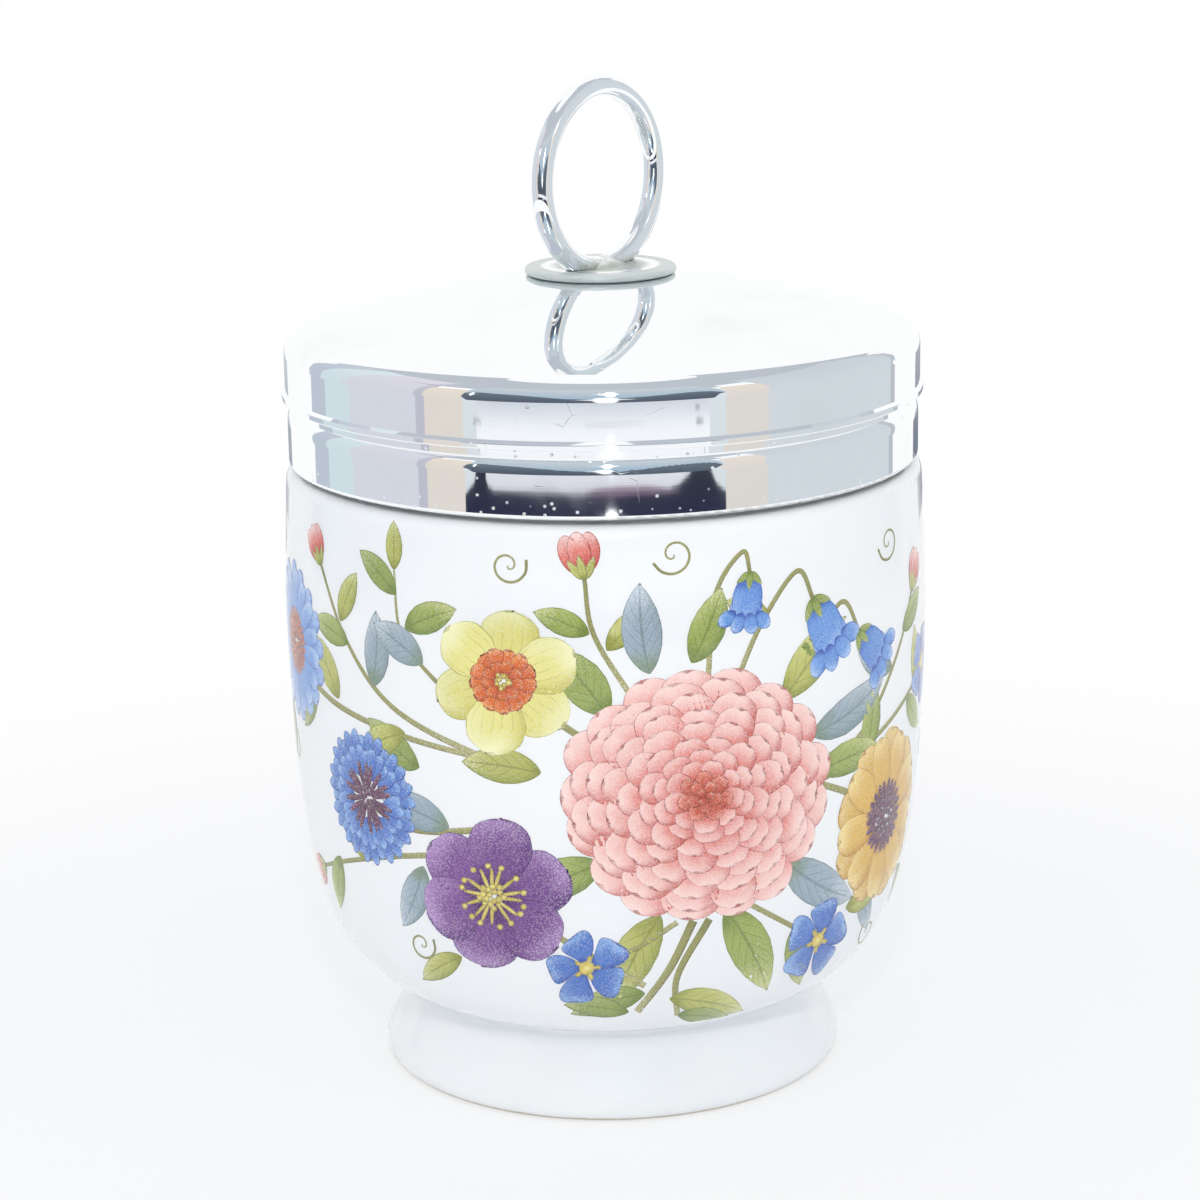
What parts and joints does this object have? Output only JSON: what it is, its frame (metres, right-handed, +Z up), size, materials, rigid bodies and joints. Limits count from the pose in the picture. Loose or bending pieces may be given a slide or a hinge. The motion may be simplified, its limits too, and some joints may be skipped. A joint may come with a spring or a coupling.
{
  "type": "egg coddler",
  "caption": "Glazed porcelain egg coddler with a flower spray, and a chrome screw lid with a fixed lifting ring.",
  "frame": {"origin": "centre of the foot ring, on the table", "axes": "+Z up along the cup's axis, towards the lifting ring; -Y towards the decorated front"},
  "size_m": [0.0826, 0.0826, 0.1266],
  "materials": {
    "porcelain": "glossy white glaze, flowers printed under it",
    "chrome": "mirror polished",
    "rubber": "matt"
  },
  "bodies": {
    "cup": {"cup": "porcelain"},
    "seal": {"sealing_ring": "rubber"},
    "lid": {"lid_cap": "chrome", "thread_collar": "chrome", "backing_washer": "chrome", "ring_seat": "chrome", "lifting_ring": "chrome"}
  },
  "joints": [
    {"name": "lid_lift", "type": "slide", "parent": "cup", "child": "seal", "axis": [0, 0, 1], "range_m": [0, 0.022]},
    {"name": "lid_turn", "type": "hinge", "parent": "seal", "child": "lid", "pos_m": [0, 0, 0.0868], "axis": [0, 0, 1], "range_deg": [0, 1440]}
  ],
  "couplings": [
    {"joint": "lid_lift", "follows": "lid_turn", "m_per_rad": 0.00087535}
  ]
}
